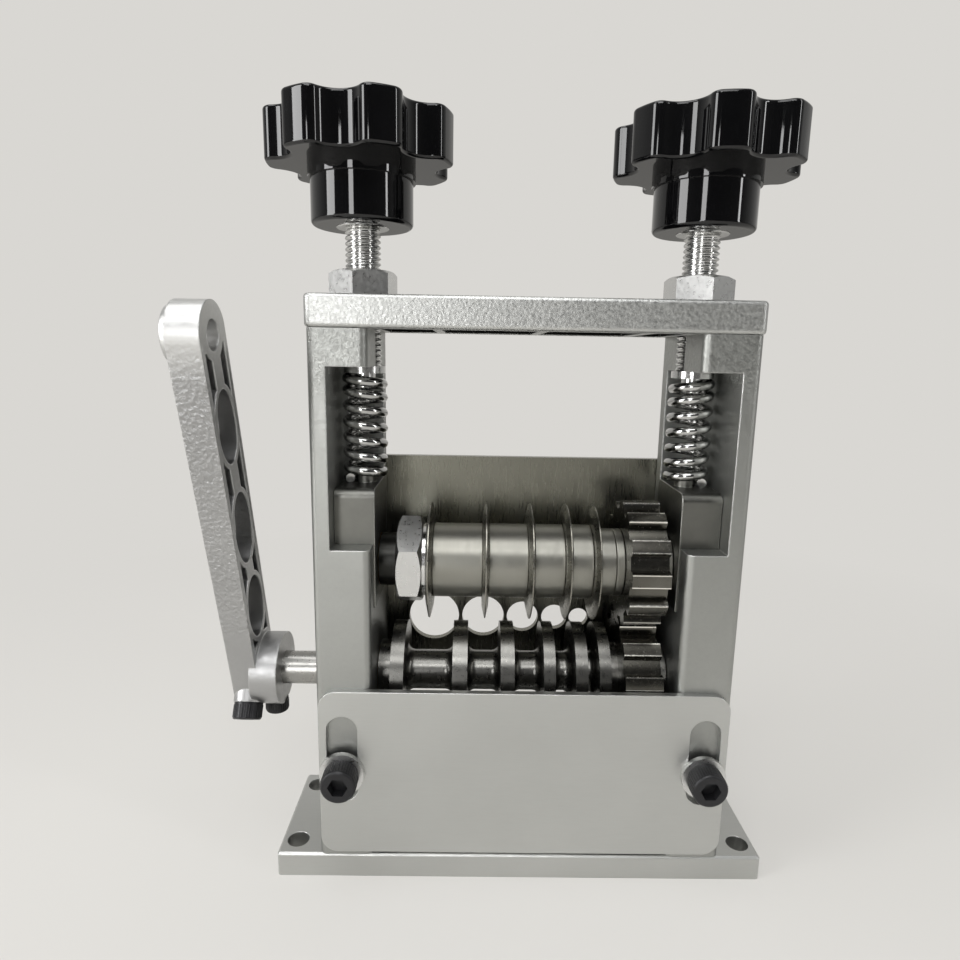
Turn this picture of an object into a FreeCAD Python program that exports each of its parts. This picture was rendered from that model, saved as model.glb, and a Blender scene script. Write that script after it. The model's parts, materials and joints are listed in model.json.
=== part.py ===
import FreeCAD, Part
import math
import os

from FreeCAD import Placement, Rotation, Vector

# Hand crank wire stripper: two cast side frames on a base plate carry a grooved feed roller
# turned by a crank. Above it a spring-loaded carriage holds a geared shaft with five round blades.
# X runs along the shafts (crank at -X), Y from the front guard to the back, Z up.
# The origin is the middle of the base plate's underside. All sizes are in millimetres.

# Base plate
base_length = 146.0
base_thickness = 7.5
base_corner_radius = 1.0
mount_hole_diameter = 6.6
mount_spacing_x = 136.0
mount_spacing_y = 27.0

# Side frames
frame_width = 120.0
frame_depth = 39.0
frame_side = 16.0
bridge_height = 10.0
slot_outer_wall = 5.0
slot_end_wall = 6.5
window_rise = 8.0
frame_edge_radius = 2.0

# Top plate
top_thickness = 8.7
top_overhang_x = 0.4
top_overhang_y = 0.6
top_pocket_depth = 6.2
top_pocket_rim = 4.0
top_rib = 2.4
top_rib_places = [-26.0, 2.5, 31.0]

# Rear wire guide plate
rear_thickness = 2.5
rear_bottom = 14.0
rear_top = 123.0
rear_inset = 2.0
exit_hole_height = 68.0
exit_hole_diameters = [16.8, 14.2, 10.6, 8.6, 6.4]
clearing_slot_bottom = 34.0
clearing_slot_height = 12.0

# Front guard plate, which slides on its two screws
guard_thickness = 2.0
guard_width = 118.0
guard_bottom = 10.0
guard_height = 51.0
guard_corner_radius = 5.0
guard_screw_x = 52.4
guard_screw_z = 36.0
guard_slot_width = 9.0
guard_slot_length = 26.8
guard_slot_drop = 4.9

# Shafts and gears
roller_axis_z = 58.0
gear_module = 3.0
gear_teeth = 12
gear_addendum = 1.0
gear_dedendum = 1.6
gear_backlash = 0.35
pressure_angle = 20.0
gear_left = 29.2
gear_width = 11.0
journal_radius = 6.0
bush_radius = 8.0
running_gap = 0.05
assembly_gap = 0.02
thrust_gap = 0.3

# Grooved feed roller
crank_shaft_radius = 5.0
roller_radius = 15.2
groove_floor_radius = 6.0
groove_corner_radius = 2.5
groove_widths = [14.4, 9.9, 8.7, 6.0, 3.4]
roller_left = -39.5
roller_right = 25.9
roller_hub_radius = 9.0
right_bush_length = 12.0

# Cutter shaft
cutter_core_radius = 8.0
blade_positions = [-28.3, -11.7, 1.7, 12.5, 20.8]
blade_radius = 17.5
blade_thickness = 1.8
blade_edge = 0.3
blade_bevel = 3.2
spacer_radius = 11.2
end_collar_radius = 10.2
last_spacer_length = 5.0
nut_washer_radius = 11.0
nut_washer_thickness = 1.2
cutter_nut_flats = 24.0
cutter_nut_thickness = 7.6
cutter_nut_turn = 5.0
key_width = 4.0
key_height = 4.0
key_stand = 1.8
key_gap = 0.05

# Sliding bearing blocks
slide_clearance = 0.15
block_below_axis = 11.0
block_above_axis = 24.0
block_edge_radius = 2.5
spring_pilot_radius = 3.0
spring_pilot_height = 4.0

# Pressure springs
spring_room = 32.0
spring_wire = 2.8
spring_coil_radius = 5.15
spring_turns = 7
spring_end_gap = 0.5
spring_rise_share = 0.25

# Pressure screws and knobs
screw_x = 47.7
screw_radius = 5.0
screw_hole_radius = 5.3
seat_radius = 6.0
seat_thickness = 2.0
top_nut_flats = 17.0
top_nut_height = 7.5
left_nut_turn = 21.4
right_nut_turn = 35.0
knob_stand = 11.8
knob_hub_radius = 14.1
knob_hub_height = 15.3
knob_rim_height = 13.5
knob_radius = 25.7
knob_lobes = 7
knob_flute_radius = 6.6
knob_flute_centre = 27.3
left_knob_turn = 21.0
right_knob_turn = -6.0
knob_ring_height = 3.2
knob_ring_step = 0.7
insert_flange_radius = 7.3
insert_flange_thickness = 1.0
insert_depth = 13.0

# Crank
crank_lean = 16.0
crank_radius = 105.4
arm_inner_x = -80.1
arm_thickness_bottom = 7.8
arm_thickness_top = 8.4
arm_width_bottom = 17.0
arm_width_top = 17.2
arm_tail = 9.0
arm_tail_radius = 1.5
hub_boss_radius = 11.0
hub_boss_face_x = -73.9
grip_hole_radius = 4.0
grip_boss_height = 1.6
grip_eye_wall = 2.3
arm_pocket_depth = 5.0
arm_rim = 2.0
arm_rib = 1.4
arm_spine = 5.2
pocket_places = [23.7, 50.7, 81.1]
pocket_lengths = [20.5, 22.0, 20.6]
pocket_widths = [13.0, 13.0, 12.6]
arm_screw_turn = 58.0
arm_screw_seat = 10.8
arm_screw_radius = 2.5
arm_head_radius = 4.25
arm_head_height = 5.0
set_screw_turn = 90.0
set_screw_seat = 10.4
set_screw_radius = 2.0
set_head_radius = 3.5
set_head_height = 4.0
set_screw_inset = 3.1
screw_pad = 0.5

# Fasteners
plate_screw_x = 52.0
plate_screw_y = 13.0
plate_screw_radius = 2.5
plate_head_radius = 4.25
plate_head_height = 5.0
plate_head_sink = 5.2
plate_screw_length = 11.0
base_screw_y = 10.5
base_screw_radius = 3.0
base_head_radius = 6.0
base_head_height = 3.3
base_screw_length = 18.0
guard_screw_radius = 3.0
guard_head_radius = 5.0
guard_head_height = 6.0
guard_screw_length = 16.0
guard_washer_radius = 6.4
guard_washer_thickness = 1.5
rear_screw_x = 52.0
rear_screw_heights = [45.0, 110.0]
rear_screw_radius = 2.0
rear_head_radius = 3.5
rear_head_height = 2.4
rear_screw_length = 8.0
socket_share = 0.5

# Values that follow from the sizes above
half_width = frame_width / 2
inner_x = half_width - frame_side
front_y = -frame_depth / 2
back_y = frame_depth / 2
slot_x = half_width - slot_outer_wall
slot_half = frame_depth / 2 - slot_end_wall
pitch_radius = gear_module * gear_teeth / 2
cutter_axis_z = roller_axis_z + 2 * pitch_radius
slot_bottom = cutter_axis_z - block_below_axis
window_bottom = cutter_axis_z + window_rise
block_top = cutter_axis_z + block_above_axis
slot_top = block_top + spring_room + seat_thickness
frame_top = slot_top + bridge_height
top_of_plate = frame_top + top_thickness
knob_bottom = top_of_plate + top_nut_height + knob_stand
gear_right = gear_left + gear_width
block_inner_x = inner_x - 0.5
shoulder_x = block_inner_x - thrust_gap
first_blade_left = blade_positions[0] - blade_thickness / 2
last_blade_right = blade_positions[-1] + blade_thickness / 2
nut_right = first_blade_left - nut_washer_thickness
nut_left = nut_right - cutter_nut_thickness
spring_bottom = block_top
spring_top = slot_top - seat_thickness

X_AXIS = Vector(1, 0, 0)
Y_AXIS = Vector(0, 1, 0)
Z_AXIS = Vector(0, 0, 1)


def below_front(angle):
    """Direction at an angle below the front horizontal, seen in the upright arm."""
    turn = math.radians(angle - crank_lean)
    return Vector(0, -math.cos(turn), -math.sin(turn))


arm_screw_x = arm_inner_x - arm_thickness_bottom / 2
set_screw_x = arm_inner_x + set_screw_inset
arm_screw_way = below_front(arm_screw_turn)
set_screw_way = below_front(set_screw_turn)

os.makedirs("parts", exist_ok=True)


def save(shape, name):
    shape.exportStep("parts/" + name + ".step")
    print("%-22s volume %9.1f  solids %d" % (name, shape.Volume, len(shape.Solids)))


def box(x0, x1, y0, y1, z0, z1):
    return Part.makeBox(x1 - x0, y1 - y0, z1 - z0, Vector(x0, y0, z0))


def rod(radius, start, direction, length):
    return Part.makeCylinder(radius, length, Vector(*start), direction)


def cone(r1, r2, start, direction, length):
    return Part.makeCone(r1, r2, length, Vector(*start), direction)


def group(shapes):
    return Part.makeCompound(shapes)


def mirrored(shape):
    return shape.mirror(Vector(0, 0, 0), X_AXIS)


def outline(points, place):
    """A closed face from (a, b) or (a, b, radius) corners; place turns (a, b) into a point."""
    corners = []
    count = len(points)
    for i in range(count):
        here = Vector(points[i][0], points[i][1], 0)
        radius = points[i][2] if len(points[i]) > 2 else 0.0
        before = Vector(points[i - 1][0], points[i - 1][1], 0)
        after = Vector(points[(i + 1) % count][0], points[(i + 1) % count][1], 0)
        if radius <= 0:
            corners.append((here, None, here))
            continue
        u = (before - here).normalize()
        v = (after - here).normalize()
        half = u.getAngle(v) / 2
        middle = (u + v).normalize()
        centre = here + middle * (radius / math.sin(half))
        reach = radius / math.tan(half)
        corners.append((here + u * reach, centre - middle * radius, here + v * reach))
    edges = []
    for i in range(count):
        start, bend, end = corners[i]
        if bend is not None:
            edges.append(Part.Arc(place(start), place(bend), place(end)).toShape())
        following = corners[(i + 1) % count][0]
        if (following - end).Length > 1e-6:
            edges.append(Part.LineSegment(place(end), place(following)).toShape())
    return Part.Face(Part.Wire(edges))


def flat_plate(points, y0, y1):
    """A plate standing in the XZ plane, from y0 to y1."""
    face = outline(points, lambda p: Vector(p.x, y0, p.y))
    return face.extrude(Vector(0, y1 - y0, 0))


def level_plate(points, z0, z1):
    face = outline(points, lambda p: Vector(p.x, p.y, z0))
    return face.extrude(Vector(0, 0, z1 - z0))


def turned(points, axis_z):
    """A solid turned about an axis along X, from its (x, radius) profile."""
    face = outline(points, lambda p: Vector(p.x, 0, axis_z + p.y))
    return face.revolve(Vector(0, 0, axis_z), X_AXIS, 360)


def rounded_box_points(a0, a1, b0, b1, radius):
    return [(a0, b0, radius), (a1, b0, radius), (a1, b1, radius), (a0, b1, radius)]


def ring(radius_out, radius_in, x0, x1, axis_z):
    outer = rod(radius_out, (x0, 0, axis_z), X_AXIS, x1 - x0)
    return outer.cut(rod(radius_in, (x0 - 1, 0, axis_z), X_AXIS, x1 - x0 + 2))


def hexagon(flats, start, direction, length, turn):
    corner = flats / math.sqrt(3)
    points = []
    for i in range(7):
        angle = math.radians(60 * i + turn)
        points.append(Vector(corner * math.cos(angle), corner * math.sin(angle), 0))
    prism = Part.Face(Part.makePolygon(points)).extrude(Vector(0, 0, length))
    prism.Placement = Placement(Vector(*start), Rotation(Z_AXIS, direction))
    return prism


def hex_nut(flats, bore, start, direction, length, turn):
    """A hexagon nut with both faces chamfered round."""
    corner = flats / math.sqrt(3)
    chamfer = corner - flats / 2 + 0.3
    nut = hexagon(flats, start, direction, length, turn)
    place = Placement(Vector(*start), Rotation(Z_AXIS, direction))
    profile = [(0, 0), (corner - chamfer, 0), (corner + 0.2, chamfer * 0.62),
               (corner + 0.2, length - chamfer * 0.62), (corner - chamfer, length), (0, length)]
    face = outline(profile, lambda p: Vector(p.x, 0, p.y))
    limit = face.revolve(Vector(0, 0, 0), Z_AXIS, 360)
    limit.Placement = place
    hole = Part.makeCylinder(bore, length + 2, Vector(0, 0, -1), Z_AXIS)
    hole.Placement = place
    return nut.common(limit).cut(hole)


def cap_screw(radius, length, head_radius, head_height, seat, inward):
    """A socket cap screw: seat is the underside of its head, inward the way its shank points."""
    inward = Vector(inward)
    seat = Vector(seat)
    edge = head_height * 0.12
    profile = [(0, 0), (head_radius, 0), (head_radius, head_height, edge), (0, head_height)]
    face = outline(profile, lambda p: Vector(p.x, 0, p.y))
    head = face.revolve(Vector(0, 0, 0), Z_AXIS, 360)
    head.Placement = Placement(seat, Rotation(Z_AXIS, inward * -1))
    shank = Part.makeCylinder(radius, length, seat, inward)
    depth = head_height * socket_share
    mouth = seat - inward * (head_height - depth)
    socket = hexagon(head_radius, mouth, inward * -1, depth + 1, 0)
    return head.fuse(shank).cut(socket).removeSplitter()


def flat_screw(radius, length, head_radius, head_height, face_point, inward):
    """A countersunk screw: face_point is the middle of its flat head."""
    inward = Vector(inward)
    face_point = Vector(face_point)
    head = Part.makeCone(head_radius, radius, head_height, face_point, inward)
    shank = Part.makeCylinder(radius, length - head_height, face_point + inward * head_height, inward)
    socket = hexagon(radius * 1.3, face_point - inward, inward, 1 + head_height * 0.7, 0)
    return head.fuse(shank).cut(socket)


def both_sides(shape):
    return [shape, mirrored(shape)]


# Base plate: a bar with rounded corners, four mounting holes and countersinks for the frames.
def make_base():
    half = base_length / 2
    plate = level_plate(rounded_box_points(-half, half, front_y, back_y, base_corner_radius),
                        0, base_thickness)
    rim = [edge for edge in plate.Edges
           if abs(edge.BoundBox.ZMin - base_thickness) < 1e-6 and edge.BoundBox.ZLength < 1e-6]
    plate = plate.makeChamfer(0.6, rim)
    for sx in (-1, 1):
        for sy in (-1, 1):
            spot = (sx * mount_spacing_x / 2, sy * mount_spacing_y / 2, -1)
            plate = plate.cut(rod(mount_hole_diameter / 2, spot, Z_AXIS, base_thickness + 2))
            screw = (sx * plate_screw_x, sy * base_screw_y, 0)
            plate = plate.cut(rod(base_screw_radius + 0.2, screw, Z_AXIS, base_thickness + 1))
            sink = cone(base_head_radius + assembly_gap, base_screw_radius + assembly_gap,
                        screw, Z_AXIS, base_head_height)
            plate = plate.cut(sink)
    return plate


# Side frame on the right, a casting with a tall slot for its bearing block. The slot opens
# inwards, and to the front through a window above the block's lower half.
def make_side_frame(crank_side):
    body = level_plate(rounded_box_points(inner_x, half_width, front_y, back_y, frame_edge_radius),
                       base_thickness, frame_top)
    body = body.cut(box(inner_x - 1, slot_x, -slot_half, slot_half, slot_bottom, slot_top))
    window = [(inner_x - 1, window_bottom), (slot_x, window_bottom),
              (slot_x, slot_top), (inner_x - 1, slot_top)]
    body = body.cut(flat_plate(window, front_y - 1, -slot_half + 1))
    body = body.cut(rod(screw_hole_radius, (screw_x, 0, slot_top - 1), Z_AXIS, frame_top - slot_top + 2))
    bore_length = frame_side + 1 if crank_side else right_bush_length
    bore = rod(bush_radius, (inner_x - 1, 0, roller_axis_z), X_AXIS, bore_length + 1)
    body = body.cut(bore)
    for sy in (-1, 1):
        top_hole = (plate_screw_x, sy * plate_screw_y, frame_top - 9.0)
        body = body.cut(rod(plate_screw_radius + assembly_gap, top_hole, Z_AXIS, 10))
        base_hole = (plate_screw_x, sy * base_screw_y, base_thickness - 1)
        depth = base_screw_length - base_thickness + 2
        body = body.cut(rod(base_screw_radius + assembly_gap, base_hole, Z_AXIS, depth))
    guard_hole = (guard_screw_x, front_y - 1, guard_screw_z)
    depth = guard_screw_length - guard_washer_thickness - guard_thickness + 1.5
    body = body.cut(rod(guard_screw_radius + assembly_gap, guard_hole, Y_AXIS, depth))
    for height in rear_screw_heights:
        rear_hole = (rear_screw_x, back_y + 1, height)
        depth = rear_screw_length - rear_thickness + 1.3
        body = body.cut(rod(rear_screw_radius + assembly_gap, rear_hole, Y_AXIS * -1, depth))
    return mirrored(body) if crank_side else body


# Top plate: a casting whose underside is pocketed, with three ribs between its rails.
def make_top_plate():
    half = half_width + top_overhang_x
    y_reach = frame_depth / 2 + top_overhang_y
    plate = level_plate(rounded_box_points(-half, half, -y_reach, y_reach, 2.0),
                        frame_top, top_of_plate)
    rim = [edge for edge in plate.Edges if edge.BoundBox.ZLength < 1e-6]
    plate = plate.makeFillet(1.1, rim)
    pocket_x = inner_x - 2.0
    pocket_y = y_reach - top_pocket_rim
    ceiling = frame_top + top_pocket_depth
    pocket = box(-pocket_x, pocket_x, -pocket_y, pocket_y, frame_top - 1, ceiling)
    for x in top_rib_places:
        pocket = pocket.cut(box(x - top_rib / 2, x + top_rib / 2, -y_reach, y_reach, frame_top - 2,
                                ceiling + 1))
    plate = plate.cut(pocket)
    for sx in (-1, 1):
        hole = (sx * screw_x, 0, frame_top - 1)
        plate = plate.cut(rod(screw_hole_radius, hole, Z_AXIS, top_thickness + 2))
        for sy in (-1, 1):
            spot = (sx * plate_screw_x, sy * plate_screw_y, frame_top - 1)
            plate = plate.cut(rod(plate_screw_radius + 0.2, spot, Z_AXIS, top_thickness + 2))
            sink = (spot[0], spot[1], top_of_plate - plate_head_sink)
            plate = plate.cut(rod(plate_head_radius + 0.25, sink, Z_AXIS, plate_head_sink + 1))
    return plate


# Rear plate: one exit hole behind each blade, and a long slot that lets stripped skin fall out.
def make_rear_plate():
    half = half_width - rear_inset
    plate = flat_plate(rounded_box_points(-half, half, rear_bottom, rear_top, 3.0),
                       back_y, back_y + rear_thickness)
    for x, diameter in zip(blade_positions, exit_hole_diameters):
        hole = (x, back_y - 1, exit_hole_height)
        plate = plate.cut(rod(diameter / 2, hole, Y_AXIS, rear_thickness + 2))
    radius = clearing_slot_height / 2 - 0.01
    slot = rounded_box_points(roller_left, roller_right, clearing_slot_bottom,
                              clearing_slot_bottom + clearing_slot_height, radius)
    plate = plate.cut(flat_plate(slot, back_y - 1, back_y + rear_thickness + 1))
    for sx in (-1, 1):
        for height in rear_screw_heights:
            hole = (sx * rear_screw_x, back_y - 1, height)
            plate = plate.cut(rod(rear_screw_radius + 0.2, hole, Y_AXIS, rear_thickness + 2))
    return plate


# Front guard plate with an upright slot at each end.
def make_guard():
    half = guard_width / 2
    plate = flat_plate(rounded_box_points(-half, half, guard_bottom, guard_bottom + guard_height,
                                          guard_corner_radius), front_y - guard_thickness, front_y)
    radius = guard_slot_width / 2
    low = guard_screw_z - guard_slot_drop - radius
    for sx in (-1, 1):
        centre = sx * guard_screw_x
        slot = rounded_box_points(centre - radius, centre + radius, low, low + guard_slot_length,
                                  radius - 0.01)
        plate = plate.cut(flat_plate(slot, front_y - guard_thickness - 1, front_y + 1))
    return plate


# Spur gear about an axis along X. Short teeth stay in mesh while the cutter shaft rides up.
def make_gear(axis_z, first_tooth, bore, keyway):
    base_circle = pitch_radius * math.cos(math.radians(pressure_angle))
    tip = pitch_radius + gear_addendum
    root = pitch_radius - gear_dedendum
    half_at_pitch = (math.pi * gear_module / 2 - gear_backlash / 2) / 2 / pitch_radius

    def involute(radius):
        if radius <= base_circle:
            return 0.0
        a = math.acos(base_circle / radius)
        return math.tan(a) - a

    def half_angle(radius):
        return half_at_pitch + involute(pitch_radius) - involute(radius)

    def at(radius, angle):
        return Vector(gear_left, radius * math.cos(angle), axis_z + radius * math.sin(angle))

    flank = max(root + 0.2, base_circle)
    middle = (flank + tip) / 2
    edges = []
    for i in range(gear_teeth):
        centre = math.radians(first_tooth + 360.0 * i / gear_teeth)
        step = 2 * math.pi / gear_teeth
        low = half_angle(flank)
        high = half_angle(tip)
        mid = half_angle(middle)
        edges.append(Part.LineSegment(at(root, centre - low), at(flank, centre - low)).toShape())
        edges.append(Part.Arc(at(flank, centre - low), at(middle, centre - mid),
                              at(tip, centre - high)).toShape())
        edges.append(Part.Arc(at(tip, centre - high), at(tip, centre), at(tip, centre + high)).toShape())
        edges.append(Part.Arc(at(tip, centre + high), at(middle, centre + mid),
                              at(flank, centre + low)).toShape())
        edges.append(Part.LineSegment(at(flank, centre + low), at(root, centre + low)).toShape())
        edges.append(Part.Arc(at(root, centre + low), at(root, centre + step / 2),
                              at(root, centre + step - low)).toShape())
    gear = Part.Face(Part.Wire(edges)).extrude(Vector(gear_width, 0, 0))
    gear = gear.cut(rod(bore, (gear_left - 1, 0, axis_z), X_AXIS, gear_width + 2))
    return gear.cut(keyway)


def key_bar(x0, x1, axis_z, gap):
    """A square key on top of a shaft of the core radius; gap makes it the matching keyway."""
    top = axis_z + cutter_core_radius + key_stand + gap
    bottom = axis_z + cutter_core_radius + key_stand - key_height - gap
    half = key_width / 2 + gap
    return box(x0, x1, -half, half, bottom, top)


# Grooved feed roller, turned in one piece with its shaft.
def make_roller():
    z = roller_axis_z
    left_end = arm_inner_x - arm_thickness_bottom + 0.5
    points = [(left_end, 0), (left_end, crank_shaft_radius), (-half_width - 0.5, crank_shaft_radius),
              (-half_width - 0.5, journal_radius), (-inner_x + thrust_gap, journal_radius),
              (-inner_x + thrust_gap, roller_hub_radius), (roller_left, roller_hub_radius),
              (roller_left, roller_radius)]
    for x, width in zip(blade_positions, groove_widths):
        points.append((x - width / 2, roller_radius))
        corner = min(groove_corner_radius, width / 2 - 0.1)
        points.append((x - width / 2, groove_floor_radius, corner))
        points.append((x + width / 2, groove_floor_radius, corner))
        points.append((x + width / 2, roller_radius))
    right_end = inner_x + right_bush_length - 0.5
    points += [(roller_right, roller_radius), (roller_right, roller_hub_radius),
               (gear_left, roller_hub_radius), (gear_left, cutter_core_radius),
               (gear_right, cutter_core_radius), (gear_right, journal_radius),
               (right_end, journal_radius), (right_end, 0)]
    roller = turned(points, z)
    return roller.cut(key_bar(gear_left, gear_right, z, assembly_gap))


def make_cutter_shaft():
    z = cutter_axis_z
    end = slot_x - 0.6
    points = [(-end, 0), (-end, journal_radius), (-shoulder_x, journal_radius),
              (-shoulder_x, cutter_core_radius), (gear_right, cutter_core_radius),
              (gear_right, roller_hub_radius), (shoulder_x, roller_hub_radius),
              (shoulder_x, journal_radius), (end, journal_radius), (end, 0)]
    shaft = turned(points, z)
    return shaft.cut(key_bar(first_blade_left, gear_right, z, assembly_gap))


def make_blade(x):
    half = blade_thickness / 2
    bore = cutter_core_radius + assembly_gap
    points = [(x - half, bore), (x - half, blade_radius - blade_bevel), (x - blade_edge / 2, blade_radius),
              (x + blade_edge / 2, blade_radius), (x + half, blade_radius - blade_bevel), (x + half, bore)]
    return turned(points, cutter_axis_z).cut(key_bar(x - half - 1, x + half + 1, cutter_axis_z, key_gap))


def make_spacer(x0, x1, radius):
    bore = cutter_core_radius + assembly_gap
    points = [(x0, bore), (x0, radius, 0.3), (x1, radius, 0.3), (x1, bore)]
    return turned(points, cutter_axis_z).cut(key_bar(x0 - 1, x1 + 1, cutter_axis_z, key_gap))


# Bearing block on the right, with a rounded top and a pilot that centres the spring.
def make_block():
    reach = slot_half - slide_clearance
    outer = slot_x - slide_clearance
    points = [(-reach, slot_bottom), (reach, slot_bottom), (reach, block_top, block_edge_radius),
              (-reach, block_top, block_edge_radius)]
    face = outline(points, lambda p: Vector(block_inner_x, p.x, p.y))
    block = face.extrude(Vector(outer - block_inner_x, 0, 0))
    block = block.cut(rod(bush_radius, (block_inner_x - 1, 0, cutter_axis_z), X_AXIS, 30))
    pilot = rod(spring_pilot_radius, (screw_x, 0, block_top - 1), Z_AXIS, spring_pilot_height + 1)
    return block.fuse(pilot).removeSplitter()


# Pressure spring: one wire wound from quarter-turn arcs pairs, its two ends running out straight.
def make_spring(side):
    low = spring_bottom + spring_wire / 2
    high = spring_top - spring_wire / 2
    quarters = spring_turns * 4
    end_pitch = spring_wire + spring_end_gap
    end_quarters = 4
    rise_left = (high - low) - 2 * end_pitch * end_quarters / 4
    middle_quarters = quarters - 2 * end_quarters
    heights = [low]
    for i in range(quarters):
        at_end = i < end_quarters or i >= quarters - end_quarters
        step = end_pitch / 4 if at_end else rise_left / middle_quarters
        heights.append(heights[-1] + step)

    def at(index, height):
        angle = math.radians(90 * index)
        return Vector(side * (screw_x + spring_coil_radius * math.cos(angle)),
                      spring_coil_radius * math.sin(angle), height)

    def along(index):
        angle = math.radians(90 * index)
        slope = 0.0
        if 0 < index < quarters:
            slope = (heights[index + 1] - heights[index - 1]) / 2
        flat = Vector(-side * math.sin(angle), math.cos(angle), 0)
        climb = slope / (spring_coil_radius * math.pi / 2)
        return (flat + Vector(0, 0, climb)).normalize()

    edges = []
    start = at(0, heights[0])
    lead = along(0)
    edges.append(Part.LineSegment(start - lead * spring_wire, start).toShape())
    for i in range(quarters):
        edges += biarc(at(i, heights[i]), along(i), at(i + 1, heights[i + 1]), along(i + 1))
    end = at(quarters, heights[-1])
    edges.append(Part.LineSegment(end, end + along(quarters) * spring_wire).toShape())
    path = Part.Wire(edges)
    circle = Part.Wire(Part.makeCircle(spring_wire / 2, start - lead * spring_wire, lead))
    spring = path.makePipeShell([circle], True, False)
    expected = math.pi * (spring_wire / 2) ** 2 * path.Length
    gap = min(heights[i + 4] - heights[i] for i in range(quarters - 3)) - spring_wire
    print("spring: least gap to itself %.2f mm, volume %.1f of %.1f" % (gap, spring.Volume, expected))
    return spring


def biarc(p0, t0, p1, t1):
    """Two arcs that join p0 to p1 and keep both tangents."""
    v = p1 - p0
    t = t0 + t1
    a = 2 * (1 - t0.dot(t1))
    b = 2 * v.dot(t)
    c = -v.dot(v)
    if abs(a) < 1e-9:
        d = -c / b
    else:
        d = (-b + math.sqrt(b * b - 4 * a * c)) / (2 * a)
    q0 = p0 + t0 * d
    q1 = p1 - t1 * d
    joint = (q0 + q1) * 0.5
    return [tangent_arc(p0, t0, joint), tangent_arc(p1, t1 * -1, joint, True)]


def tangent_arc(start, tangent, end, turn_round=False):
    chord = end - start
    normal = tangent.cross(chord)
    if normal.Length < 1e-9:
        return Part.LineSegment(end, start).toShape() if turn_round else Part.LineSegment(start, end).toShape()
    inward = normal.cross(tangent).normalize()
    radius = chord.dot(chord) / (2 * chord.dot(inward))
    centre = start + inward * radius
    middle = centre + ((start + end) * 0.5 - centre).normalize() * radius
    if turn_round:
        return Part.Arc(end, middle, start).toShape()
    return Part.Arc(start, middle, end).toShape()


def make_seat():
    disc = rod(seat_radius, (screw_x, 0, spring_top), Z_AXIS, seat_thickness)
    pilot = rod(spring_pilot_radius, (screw_x, 0, spring_top - spring_pilot_height), Z_AXIS,
                spring_pilot_height)
    return disc.fuse(pilot).removeSplitter()


# Pressure screw: a stud with the round flange that is moulded into the knob.
def make_pressure_screw():
    top = knob_bottom + insert_depth
    flange_bottom = knob_bottom - 0.3
    points = [(0, slot_top), (screw_radius - 1, slot_top), (screw_radius, slot_top + 1),
              (screw_radius, flange_bottom), (insert_flange_radius, flange_bottom),
              (insert_flange_radius, flange_bottom + insert_flange_thickness),
              (screw_radius, flange_bottom + insert_flange_thickness), (screw_radius, top), (0, top)]
    face = outline(points, lambda p: Vector(screw_x + p.x, 0, p.y))
    return face.revolve(Vector(screw_x, 0, 0), Z_AXIS, 360)


# Star knob: a fluted rim on a round hub, with a low step ring where they meet.
def make_knob(centre_x, turn):
    rim_bottom = knob_bottom + knob_hub_height
    top = rim_bottom + knob_rim_height
    rim = rod(knob_radius, (centre_x, 0, rim_bottom), Z_AXIS, knob_rim_height)
    for i in range(knob_lobes):
        lobe = -90 + turn + 360.0 * i / knob_lobes
        angle = math.radians(lobe + 180.0 / knob_lobes)
        spot = (centre_x + knob_flute_centre * math.cos(angle), knob_flute_centre * math.sin(angle),
                rim_bottom - 1)
        rim = rim.cut(rod(knob_flute_radius, spot, Z_AXIS, knob_rim_height + 2))
    uprights = [edge for edge in rim.Edges if edge.BoundBox.ZLength > knob_rim_height - 0.1
                and edge.BoundBox.XLength < 1e-6 and edge.BoundBox.YLength < 1e-6
                and abs(math.hypot(edge.Vertexes[0].X - centre_x, edge.Vertexes[0].Y) - knob_radius) < 0.01]
    seams = [edge for edge in uprights if len(rim.ancestorsOfType(edge, Part.Face)) == 2]
    rim = rim.makeFillet(3.0, seams)
    rims = [edge for edge in rim.Edges if edge.BoundBox.ZLength < 1e-6]
    rim = rim.makeFillet(0.9, rims)
    hub_points = [(0, knob_bottom), (knob_hub_radius, knob_bottom, 1.2),
                  (knob_hub_radius, rim_bottom - knob_ring_height),
                  (knob_hub_radius + knob_ring_step, rim_bottom - knob_ring_height),
                  (knob_hub_radius + knob_ring_step, rim_bottom + 1), (0, rim_bottom + 1)]
    face = outline(hub_points, lambda p: Vector(centre_x + p.x, 0, p.y))
    hub = face.revolve(Vector(centre_x, 0, 0), Z_AXIS, 360)
    knob = rim.fuse(hub).removeSplitter()
    flange_depth = insert_flange_thickness - 0.3 + assembly_gap
    knob = knob.cut(rod(insert_flange_radius + assembly_gap, (centre_x, 0, knob_bottom - 1),
                        Z_AXIS, flange_depth + 1))
    knob = knob.cut(rod(screw_radius + assembly_gap, (centre_x, 0, knob_bottom - 1), Z_AXIS,
                        insert_depth + 1 + assembly_gap))
    print("knob top %.1f" % top)
    return knob


# Crank arm: a tapered casting. Its inner face is hollowed into three oval pockets, with a hollow
# triangle on each side between them. Its axis starts at the shaft and leans to the front.
def arm_outline(inset, place):
    top_half = arm_width_top / 2 - inset
    low_half = arm_width_bottom / 2 - inset
    tip = crank_radius
    start = -arm_tail + inset
    edges = [Part.LineSegment(place(-low_half, start), place(low_half, start)).toShape(),
             Part.LineSegment(place(low_half, start), place(top_half, tip)).toShape(),
             Part.Arc(place(top_half, tip), place(0, tip + top_half), place(-top_half, tip)).toShape(),
             Part.LineSegment(place(-top_half, tip), place(-low_half, start)).toShape()]
    return Part.Face(Part.Wire(edges))


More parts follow.
